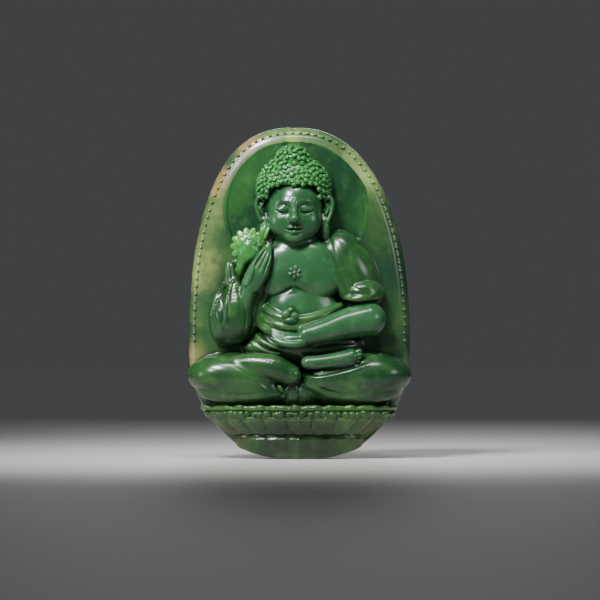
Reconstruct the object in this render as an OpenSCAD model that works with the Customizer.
// Carved nephrite pendant: a seated figure on a lotus throne, in high relief on an arched slab.
// Millimetres. The front faces -Y, +Z is up, and the slab stands on its short foot at Z = 0.

/* [Slab] */
// Height of the whole carving
height = 60; // [58:0.5:62]
// Half width of the arch at its widest place
arch_half_w = 20.05; // [19.5:0.05:20.3]
// Height at which the arch is widest
arch_foot_z = 20.6; // [20:0.1:21]
// Roundness of the arch on its left and right: 2 is an ellipse, more is squarer
arch_power = [2.39, 2.33]; // [2.2:0.01:2.5]
// Sideways lean of the arch's crown
arch_lean = -0.9; // [-1.2:0.1:0]
// Thickness of the whole carving
thickness = 13; // [12.5:0.1:13.5]
// Thickness of the slab behind the relief
slab_t = 4.5; // [4:0.1:5]
// Half width of the flat foot
foot_half_w = 3.4; // [3:0.1:4]
// Radius of the rounded bottom edge
bottom_r = 28.7; // [28:0.1:30]
// Half width of the rounded bottom edge
bottom_half_w = 10.4; // [10:0.1:11]

/* [Border] */
// Width of the border strip
rim_w = 2.1; // [1.8:0.1:2.4]
// Depth of the border strip
rim_t = 1.2; // [1:0.1:1.4]
// Number of beads on the border
bead_count = 68; // [60:1:70]
// Radius of one bead
bead_r = 0.55; // [0.45:0.01:0.6]
// Distance of the bead row from the edge
bead_inset = 0.8; // [0.7:0.05:1]

/* [Halo] */
// Centre of the halo, across and up
halo_at = [-0.6, 45]; // [-1:0.1:46]
// Radius of the halo
halo_r = 12.7; // [12:0.1:13]
// How far the halo lies below the ground
halo_sink = 0.5; // [0.3:0.1:0.8]
// Thickness of the halo disc
halo_t = 0.6; // [0.4:0.1:0.8]

/* [Cord hole] */
// Radius of both bores
cord_r = 0.8; // [0.6:0.05:0.9]
// Where the two bores meet: across, depth and height
cord_at = [-0.9, 4.3, 55.5]; // [-1:0.1:56]

/* [Head] */
// Centre of the head
head_at = [-0.9, 0.6, 45]; // [-2:0.1:46]
// Half sizes of the head
head_r = [5.4, 5.6, 6.4]; // [5:0.1:7]
// Centre of the jaw
jaw_at = [-0.9, -0.5, 41.7]; // [-2:0.1:43]
// Half sizes of the jaw
jaw_r = [3.8, 3.9, 3.1]; // [3:0.1:4]
// Centre of the hair
hair_at = [-1.1, 1, 48.6]; // [-2:0.1:50]
// Half sizes of the hair
hair_r = [6.7, 4.4, 5.6]; // [4:0.1:7]
// Lowest place of the hair at the temples
hair_low_z = 46.8; // [46:0.1:48]
// Centre of the topknot
knot_at = [-1.2, 0.4, 54]; // [-2:0.1:55]
// Half sizes of the topknot
knot_r = [2.6, 3.2, 2.6]; // [2:0.1:4]
// Radius of one curl of hair
curl_r = 0.62; // [0.5:0.01:0.7]
// Rows of curls between the hairline and the topknot
curl_rows = 4; // [3:1:5]
// Half sizes of an ear's shell
ear_r = [1.1, 1.7, 2.8]; // [1:0.1:3]
// Half sizes of an ear's lobe
lobe_r = [0.9, 1.2, 2.6]; // [0.8:0.1:3]

/* [Body] */
// Centre of the neck
neck_at = [-0.9, 1.2, 38.6]; // [-2:0.1:40]
// Half sizes of the neck
neck_r = [4.6, 3.6, 4]; // [3:0.1:5]
// Centre of the chest
chest_at = [0.1, 1.6, 34.2]; // [-1:0.1:36]
// Half sizes of the chest
chest_r = [8, 5.2, 6]; // [5:0.1:9]
// Centre of the rosette on the breast
rosette_at = [-0.8, -3.55, 33.6]; // [-4:0.05:35]
// Radius of the rosette
rosette_r = 1.3; // [1:0.1:1.6]
// Centre of the belly
belly_at = [0.3, 1.6, 27.2]; // [-1:0.1:29]
// Half sizes of the belly
belly_r = [7.4, 5.4, 4.6]; // [4:0.1:8]
// Half width of the sash around the belly
sash_half_w = 7.1; // [6.8:0.1:7.4]
// Radius of the sash's roll
sash_roll = 1.15; // [1:0.05:1.3]
// Tilt of the sash, lower in front
sash_tilt = 24; // [20:1:28]
// Centre of the jewel on the sash
jewel_at = [-1.7, -4.5, 25.8]; // [-6:0.1:27]
// Radius of the jewel
jewel_r = 1.6; // [1.4:0.05:1.8]
// Half sizes of the robe over the lap
lap_r = [11, 4.4, 4.2]; // [4:0.1:12]

/* [Arms] */
// Left elbow
elbow_left = [12.4, -1.2, 25.2]; // [-2:0.1:26]
// Left wrist
wrist_left = [1.4, -4.2, 22.3]; // [-5:0.1:23]
// Radii of the left forearm at its elbow and wrist
forearm_left_r = [3.3, 1.8]; // [1.5:0.1:3.5]
// Centre of the robe on the left shoulder
shoulder_at = [9.2, 1.2, 34.4]; // [1:0.1:36]
// Half sizes of the robe on the left shoulder
shoulder_r = [3.9, 4.6, 7]; // [3:0.1:8]
// Lean of the left upper arm
shoulder_lean = -26; // [-30:1:-20]
// Centre of the left sleeve's cuff
cuff_at = [11.6, 0.9, 29.8]; // [0:0.1:31]
// Half sizes of the left sleeve's cuff
cuff_r = [4, 5.2, 2.3]; // [2:0.1:6]
// Centre of the right upper arm
upper_arm_at = [-7.4, 1, 30.6]; // [-8:0.1:31]
// Half sizes of the right upper arm
upper_arm_r = [3.1, 3.2, 9.3]; // [3:0.1:10]
// Lean of the right upper arm
upper_arm_lean = 15; // [12:1:18]
// Right elbow
elbow_right = [-9.4, 0.4, 23.6]; // [-10:0.1:25]
// Right wrist
wrist_right = [-9, -2.6, 31]; // [-10:0.1:34]
// Radii of the right forearm at its elbow and wrist
forearm_right_r = [2.4, 1.5]; // [1.3:0.1:2.6]
// Centre of the hanging sleeve
drape_at = [-12.3, 0.9, 26]; // [-13:0.1:27]
// Half sizes of the hanging sleeve
drape_r = [3.9, 4.6, 5.8]; // [3:0.1:7]

/* [Legs] */
// Distance of each knee's centre from the middle
knee_x = 11.2; // [11:0.1:11.4]
// Height of the knees' centres
knee_z = 14.8; // [14.5:0.1:15]
// Half sizes of each folded leg
leg_r = [9.1, 6, 4.5]; // [4:0.1:9.5]
// Upper end of the crossing shin
shin_top = [-11.4, -2.6, 17.4]; // [-12:0.1:18]
// Lower end of the crossing shin
shin_low = [-1.4, -3.6, 15.4]; // [-5:0.1:16]
// Radii of the crossing shin
shin_r = [1.9, 2.2]; // [1.5:0.1:2.5]
// Heel of the upturned foot
heel_at = [1.8, -4.1, 17.3]; // [-5:0.1:18]
// Ball of the upturned foot
ball_at = [9.6, -4, 18.6]; // [-5:0.1:19]
// Radii of the foot at its heel and ball
foot_r = [1.5, 1.8]; // [1.3:0.1:2]
// Radius of the big toe
toe_r = 0.75; // [0.6:0.05:0.8]

/* [Lotus throne] */
// Half width of the seat at its bottom and top
seat_half_w = [16.4, 18.5]; // [16:0.1:18.6]
// Heights of the seat's lower and upper faces
seat_z = [7.6, 9.7]; // [7.4:0.1:10]
// Half width of the petal bowl at its bottom and top
bowl_half_w = [12.4, 16.2]; // [12:0.1:17]
// Height of the petal bowl's bottom
bowl_z = 4.4; // [4.2:0.1:4.6]
// Half width of the plinth at its bottom and top
plinth_half_w = [9.8, 12]; // [9:0.1:13]
// Number of petals on the bowl
petal_count = 11; // [9:2:13]
// Half sizes of a petal on the bowl
petal_r = [1.9, 1, 1.8]; // [0.8:0.1:2]
// Number of petals on the plinth
low_petal_count = 9; // [7:2:11]
// Half sizes of a petal on the plinth
low_petal_r = [1.6, 1, 1.25]; // [0.8:0.05:2]
// Depth of the throne as a part of its width
throne_flat = 0.43; // [0.42:0.01:0.44]

/* [Hidden] */
$fn = 40;

back_y = thickness / 2;
ground_y = back_y - slab_t;
halo_y = ground_y + halo_sink;
big = 100;

// Colours of the stone
stone_ground = [0.36, 0.48, 0.31];
stone_rind = [0.53, 0.52, 0.34];
stone_halo = [0.21, 0.36, 0.22];
stone_skin = [0.23, 0.42, 0.28];
stone_hair = [0.20, 0.50, 0.24];
stone_robe = [0.19, 0.34, 0.20];
stone_lotus = [0.24, 0.38, 0.20];

// ---- outline of the slab ----

// A point of the arch, at an angle around it and an inset from its edge
function power_of(v, power) = sign(v) * pow(abs(v), 2 / power);
function arch_point(turn, inset) =
    let (
        power = arch_power[turn > 90 ? 0 : 1],
        rise = power_of(sin(turn), power)
    )
    [
        (arch_half_w - inset) * power_of(cos(turn), power) + arch_lean * pow(max(rise, 0), 3),
        arch_foot_z + (height - arch_foot_z - inset) * rise
    ];

// A point on a cubic curve with four control points
function curve_point(p, t) =
    pow(1 - t, 3) * p[0] + 3 * t * pow(1 - t, 2) * p[1] + 3 * t * t * (1 - t) * p[2] + pow(t, 3) * p[3];

// Height of the rounded bottom edge at a distance from the middle
bottom_mid_z = sqrt(pow(bottom_r, 2) - pow(foot_half_w, 2));
function bottom_z(x) = bottom_mid_z - sqrt(pow(bottom_r, 2) - x * x);

flank = [
    [arch_half_w, arch_foot_z],
    [arch_half_w + 0.25, 14.6],
    [18.6, 7.6],
    [bottom_half_w, bottom_z(bottom_half_w)]
];
arch_steps = 60;
flank_steps = 10;
bottom_steps = 5;
arch_side = [for (i = [0 : arch_steps]) arch_point(180 * i / arch_steps, 0)];
left_flank = [for (i = [1 : flank_steps]) let (p = curve_point(flank, i / flank_steps)) [-p[0], p[1]]];
left_bottom = [
    for (i = [1 : bottom_steps])
    let (x = bottom_half_w + (foot_half_w - bottom_half_w) * i / bottom_steps)
    [-x, bottom_z(x)]
];
right_bottom = [for (i = [bottom_steps - 1 : -1 : 0]) [-left_bottom[i][0], left_bottom[i][1]]];
right_flank = [for (i = [flank_steps - 1 : -1 : 0]) [-left_flank[i][0], left_flank[i][1]]];
slab_outline = concat(arch_side, left_flank, left_bottom, right_bottom, right_flank);

// ---- shapes that repeat ----

// A flat outline in X and Z, with its front at one depth and its back at another
module plate(points, front_y, rear_y) {
    translate([0, rear_y, 0])
        rotate([90, 0, 0])
            linear_extrude(height = rear_y - front_y)
                polygon(points);
}

// A rounded mass with three half sizes, whose sphere has its poles in front and behind, or above and below
front_pole = [90, 0, 0];
top_pole = [0, 0, 90];
module egg(at, half, turn = [0, 0, 0], pole = front_pole) {
    translate(at)
        rotate(turn)
            scale(half)
                rotate(pole)
                    sphere(r = 1);
}

// A limb with a round end at each place
module limb(from, to, r) {
    way = to - from;
    long = norm(way);
    translate(from)
        rotate([0, acos(way[2] / long), atan2(way[1], way[0])]) {
            sphere(r = r[0]);
            cylinder(h = long, r1 = r[0] * 0.97, r2 = r[1] * 0.97);
            translate([0, 0, long])
                sphere(r = r[1]);
        }
}

// The stone behind the relief, with the sunk halo left open
module ground_block() {
    difference() {
        translate([-big / 2, ground_y, -big / 4])
            cube([big, big / 2, big]);
        halo_cut(ground_y - 1, halo_y);
    }
}

module halo_cut(front_y, rear_y) {
    translate([halo_at[0], rear_y, halo_at[1]])
        rotate([90, 0, 0])
            cylinder(h = rear_y - front_y, r = halo_r);
}

// The first child, cut back to the ground and to the shapes that lie over it
module carved() {
    difference() {
        children(0);
        ground_block();
        if ($children > 1)
            children([1 : $children - 1]);
    }
}

// ---- slab, border and halo ----

module cord_bores() {
    translate(cord_at)
        cylinder(h = height, r = cord_r);
    translate(cord_at)
        rotate([-90, 0, 0])
            cylinder(h = thickness, r = cord_r);
    translate(cord_at)
        sphere(r = cord_r);
}

module rim_shape() {
    inner = [for (i = [0 : arch_steps]) arch_point(180 * i / arch_steps, rim_w)];
    difference() {
        plate(arch_side, ground_y, ground_y + rim_t);
        plate(inner, ground_y - 1, ground_y + rim_t + 1);
    }
}

module ground_slab() {
    color(stone_ground)
        difference() {
            plate(slab_outline, ground_y, back_y);
            rim_shape();
            halo_cut(ground_y - 1, halo_y + halo_t);
            cord_bores();
        }
}

module rim_band() {
    color(stone_rind)
        rim_shape();
}

// Lengths along the bead row, each with its angle around the arch
row_steps = 180;
row_points = [for (i = [0 : row_steps]) arch_point(180 * i / row_steps, bead_inset)];
function row_length(n) = n == 0 ? 0 : row_length(n - 1) + norm(row_points[n] - row_points[n - 1]);
row_table = [for (i = [0 : row_steps]) [row_length(i), 180 * i / row_steps]];
bead_pitch = row_length(row_steps) / bead_count;

module bead_border() {
    color(stone_rind)
        difference() {
            for (i = [0 : bead_count - 1]) {
                p = arch_point(lookup((i + 0.5) * bead_pitch, row_table), bead_inset);
                translate([p[0], ground_y, p[1]])
                    sphere(r = bead_r);
            }
            ground_block();
        }
}

module halo_disc() {
    color(stone_halo)
        halo_cut(halo_y, halo_y + halo_t);
}

// ---- head ----

module head_form() {
    egg(head_at, head_r);
    egg(jaw_at, jaw_r);
}

module hair_form() {
    difference() {
        egg(hair_at, hair_r, pole = top_pole);
        translate([-big / 2, -big / 2, hair_low_z - big])
            cube(big);
    }
}

module topknot_form() {
    egg(knot_at, knot_r);
}

module ear_form(side) {
    shell_at = [head_at[0] + side * 5.95, 0.6, 45.2];
    lobe_at = [head_at[0] + side * 5.4, 0.3, 41.6];
    egg(shell_at, ear_r, [0, side * 6, 0], top_pole);
    egg(lobe_at, lobe_r, pole = top_pole);
}

module head() {
    color(stone_skin)
        carved() {
            head_form();
            hand_right_form();
        }
}

module hair_cap() {
    color(stone_hair)
        carved() {
            hair_form();
            head_form();
        }
}

module topknot() {
    color(stone_hair)
        carved() {
            topknot_form();
            hair_form();
            head_form();
        }
}

// A curl on a rounded mass, at an angle across it and an angle up it
module curl(at, half, across, up) {
    translate(at + [
        half[0] * cos(up) * sin(across),
        -half[1] * cos(up) * cos(across),
        half[2] * sin(up)
    ])
        sphere(r = curl_r);
}

module hair_curls() {
    color(stone_hair)
        carved() {
            union() {
                for (row = [0 : curl_rows - 1]) {
                    up = 14 + row * 14;
                    count = 9 - row;
                    for (i = [0 : count - 1])
                        curl(hair_at, hair_r, (i - (count - 1) / 2) * 19, up);
                }
                for (row = [0 : 1], i = [-1 : 1])
                    curl(knot_at, knot_r, i * 38, 22 + row * 32);
            }
            hair_form();
            head_form();
            topknot_form();
        }
}

module ear_right() {
    color(stone_skin)
        carved() {
            ear_form(-1);
            head_form();
            hair_form();
        }
}

module ear_left() {
    color(stone_skin)
        carved() {
            ear_form(1);
            head_form();
            hair_form();
        }
}

// ---- body ----

module neck_form() {
    egg(neck_at, neck_r);
}

module chest_form() {
    egg(chest_at, chest_r);
}

// A small plain rosette on the breast
module rosette_form() {
    translate(rosette_at) {
        sphere(r = rosette_r * 0.5);
        for (i = [0 : 5])
            rotate([0, 60 * i + 10, 0])
                translate([rosette_r * 0.62, 0.06, 0])
                    sphere(r = rosette_r * 0.39);
    }
}

module belly_form() {
    egg(belly_at, belly_r);
}

module sash_form() {
    translate([belly_at[0], belly_at[1], 25.8])
        rotate([sash_tilt, 0, 0])
            scale([1, 0.78, 1])
                rotate_extrude()
                    translate([sash_half_w, 0])
                        circle(r = sash_roll);
}

module jewel_form() {
    translate(jewel_at)
        sphere(r = jewel_r);
}

module lap_form() {
    egg([0.5, 1.6, 20.4], lap_r);
}

module neck() {
    color(stone_skin)
        carved() {
            neck_form();
            head_form();
            ear_form(-1);
            ear_form(1);
            shoulder_form();
        }
}

module chest() {
    color(stone_skin)
        carved() {
            chest_form();
            neck_form();
            head_form();
            shoulder_form();
            hand_right_form();
            bloom_form();
            upper_arm_form();
            forearm_right_form();
            rosette_form();
        }
}

module chest_rosette() {
    color(stone_skin)
        carved()
            rosette_form();
}

module belly() {
    color(stone_skin)
        carved() {
            belly_form();
            chest_form();
            jewel_form();
            hand_left_form();
            forearm_left_form();
            upper_arm_form();
            forearm_right_form();
            shoulder_form();
            cuff_form();
        }
}

module sash() {
    color(stone_robe)
        carved() {
            sash_form();
            belly_form();
            chest_form();
            jewel_form();
            hand_left_form();
            forearm_left_form();
            upper_arm_form();
            forearm_right_form();
            shoulder_form();
            cuff_form();
        }
}

module sash_jewel() {
    color(stone_skin)
        carved() {
            jewel_form();
            hand_left_form();
        }
}

module lap_robe() {
    color(stone_robe)
        carved() {
            lap_form();
            belly_form();
            sash_form();
            hand_left_form();
            forearm_left_form();
            forearm_right_form();
            upper_arm_form();
            drape_form();
            leg_form(-1);
            leg_form(1);
            shin_form();
            foot_form();
            cuff_form();
        }
}

// ---- left arm, with its hand in the lap ----

module shoulder_form() {
    difference() {
        egg(shoulder_at, shoulder_r, [0, shoulder_lean, 0]);
        translate([-big / 2, -big / 2, cuff_at[2] - big])
            cube(big);
    }
}

module cuff_form() {
    egg(cuff_at, cuff_r, [0, 8, 0]);
}

module forearm_left_form() {
    limb(elbow_left, wrist_left, forearm_left_r);
}

// The palm lies upwards, and four fingers reach across it
module hand_left_form() {
    palm_at = wrist_left + [-2.6, -0.2, -0.9];
    egg(palm_at, [3.2, 2, 1.6], [0, 6, 0]);
    for (i = [0 : 3])
        limb(
            palm_at + [-0.6 - i * 0.2, -1.2 + i * 0.7, 0.1],
            palm_at + [-3.6 + i * 0.3, -0.7 + i * 0.6, 0.9],
            [0.62, 0.45]
        );
}

module shoulder_robe_left() {
    color(stone_robe)
        carved() {
            shoulder_form();
            head_form();
            cuff_form();
            ear_form(1);
        }
}

module cuff_left() {
    color(stone_robe)
        carved() {
            cuff_form();
            forearm_left_form();
            chest_form();
        }
}

module forearm_left() {
    color(stone_skin)
        carved() {
            forearm_left_form();
            hand_left_form();
        }
}

module hand_left() {
    color(stone_skin)
        carved()
            hand_left_form();
}

// ---- right arm, raised with a lotus ----

module upper_arm_form() {
    egg(upper_arm_at, upper_arm_r, [0, upper_arm_lean, 0]);
}

module forearm_right_form() {
    limb(elbow_right + [0.4, -0.8, 1], wrist_right, forearm_right_r);
}

// The raised hand: a palm, four fingers and a thumb
module hand_right_form() {
    palm_at = wrist_right + [1.7, -0.6, 3.6];
    egg(palm_at, [2.2, 1.7, 3.1], [0, 24, 0]);
    for (i = [0 : 3])
        limb(
            palm_at + [1.5 - i * 0.85, -0.6, 1.5 - i * 0.15],
            palm_at + [2.2 - i * 0.85, -0.4 - i * 0.15, 4.4 - i * 0.8],
            [0.65, 0.45]
        );
    limb(palm_at + [-1, -0.9, -1.2], palm_at + [-1.9, -1.3, 1.2], [0.7, 0.5]);
}

bloom_at = [-9.1, -2.5, 38.5];
bloom_petals = 6;

module bloom_form() {
    egg(bloom_at, [1.7, 1.7, 1.7], pole = top_pole);
    for (i = [0 : bloom_petals - 1])
        translate(bloom_at)
            rotate([0, i * 360 / bloom_petals, 0])
                egg([0, -0.2, 1.6], [0.95, 1.2, 1.1], pole = top_pole);
}

module bud_form() {
    egg([-6.2, -1.5, 41.2], [1, 1.3, 1.9], [0, 14, 0]);
}

// The sleeve hangs from the raised forearm in four deep folds
module drape_form() {
    egg(drape_at, drape_r, [0, 10, 0]);
    for (i = [0 : 3])
        limb(
            drape_at + [-2 + i * 1.5, -2.8 - i * 0.4, 3.8 - i * 0.3],
            drape_at + [-2.6 + i * 1.7, -2.2 - i * 0.5, -3.6 - i * 0.3],
            [0.8, 1]
        );
}

module upper_arm_right() {
    color(stone_robe)
        carved() {
            upper_arm_form();
            forearm_right_form();
            hand_right_form();
            neck_form();
            leg_form(-1);
        }
}

module forearm_right() {
    color(stone_skin)
        carved() {
            forearm_right_form();
            hand_right_form();
        }
}

module hand_right() {
    color(stone_skin)
        carved()
            hand_right_form();
}

module lotus_bloom() {
    color(stone_hair)
        carved() {
            bloom_form();
            hand_right_form();
            forearm_right_form();
            upper_arm_form();
        }
}

module lotus_bud() {
    color(stone_hair)
        carved() {
            bud_form();
            head_form();
            ear_form(-1);
            hand_right_form();
            bloom_form();
            neck_form();
        }
}

module sleeve_drape_right() {
    color(stone_robe)
        carved() {
            drape_form();
            forearm_right_form();
            upper_arm_form();
            leg_form(-1);
        }
}

// ---- legs ----

module leg_form(side) {
    egg([side * knee_x, 0.6, knee_z], leg_r, [0, side * -3, 0]);
}

module shin_form() {
    limb(shin_top, shin_low, shin_r);
}

module foot_form() {
    limb(heel_at, ball_at, foot_r);
    for (i = [0 : 4])
        translate(ball_at + [1.5 - abs(i - 1) * 0.2, -0.7 + i * 0.45, 1.1 - i * 0.7])
            sphere(r = toe_r - i * 0.04);
}

module leg_right() {
    color(stone_robe)
        carved() {
            leg_form(-1);
            shin_form();
        }
}

module leg_left() {
    color(stone_robe)
        carved() {
            leg_form(1);
            foot_form();
            shin_form();
        }
}

module shin_right() {
    color(stone_robe)
        carved() {
            shin_form();
            foot_form();
        }
}

module foot_right() {
    color(stone_skin)
        carved()
            foot_form();
}

// The robe's end spreads over the seat in a fan
module lap_drape() {
    color(stone_robe)
        carved() {
            union() {
                egg([0.2, 0.4, 12.4], [5.6, 4.4, 3.6]);
                for (i = [-1 : 1])
                    limb([i * 1.1, -3, 14], [i * 2.6, -3.2, 10.9], [0.8, 1.1]);
            }
            leg_form(-1);
            leg_form(1);
            shin_form();
            seat_shape();
        }
}

// ---- lotus throne ----

// A round slice of the throne, flattened towards the slab
module throne_slice(half_w, z) {
    translate([0, ground_y, z[0]])
        scale([1, throne_flat, 1])
            cylinder(h = z[1] - z[0], r1 = half_w[0], r2 = half_w[1]);
}

module seat_shape() {
    throne_slice(seat_half_w, seat_z);
}

// Petals around a slice, each with its wide end up or down
module petal_ring(count, half_w, z, half) {
    for (i = [0 : count - 1]) {
        turn = 180 * (i + 0.5) / count;
        translate([half_w * cos(turn), ground_y - half_w * throne_flat * sin(turn), z])
            rotate([0, 0, 90 - turn])
                scale(half)
                    sphere(r = 1);
    }
}

module bowl_shape() {
    throne_slice(bowl_half_w, [bowl_z, seat_z[0]]);
}

module plinth_shape() {
    intersection() {
        throne_slice(plinth_half_w, [0, bowl_z]);
        translate([0, big / 2, bottom_mid_z])
            rotate([90, 0, 0])
                cylinder(h = big, r = bottom_r);
    }
}

module seat_pad() {
    color(stone_lotus)
        carved()
            seat_shape();
}

module petal_bowl() {
    color(stone_lotus)
        carved()
            bowl_shape();
}

module petals_upper() {
    color(stone_lotus)
        carved() {
            petal_ring(petal_count, bowl_half_w[0] + 1.3, bowl_z + 1.5, petal_r);
            bowl_shape();
            seat_shape();
            plinth_shape();
        }
}

module petals_lower() {
    color(stone_lotus)
        carved() {
            petal_ring(low_petal_count, plinth_half_w[0] + 0.9, bowl_z - 1.9, low_petal_r, $fn = 96);
            bowl_shape();
            plinth_shape();
        }
}

module plinth() {
    color(stone_lotus)
        carved()
            plinth_shape();
}

ground_slab();
rim_band();
bead_border();
halo_disc();
head();
hair_cap();
hair_curls();
topknot();
ear_right();
ear_left();
neck();
chest();
chest_rosette();
belly();
sash();
sash_jewel();
lap_robe();
shoulder_robe_left();
cuff_left();
forearm_left();
hand_left();
upper_arm_right();
forearm_right();
hand_right();
lotus_bloom();
lotus_bud();
sleeve_drape_right();
leg_right();
leg_left();
shin_right();
foot_right();
lap_drape();
seat_pad();
petal_bowl();
petals_upper();
petals_lower();
plinth();
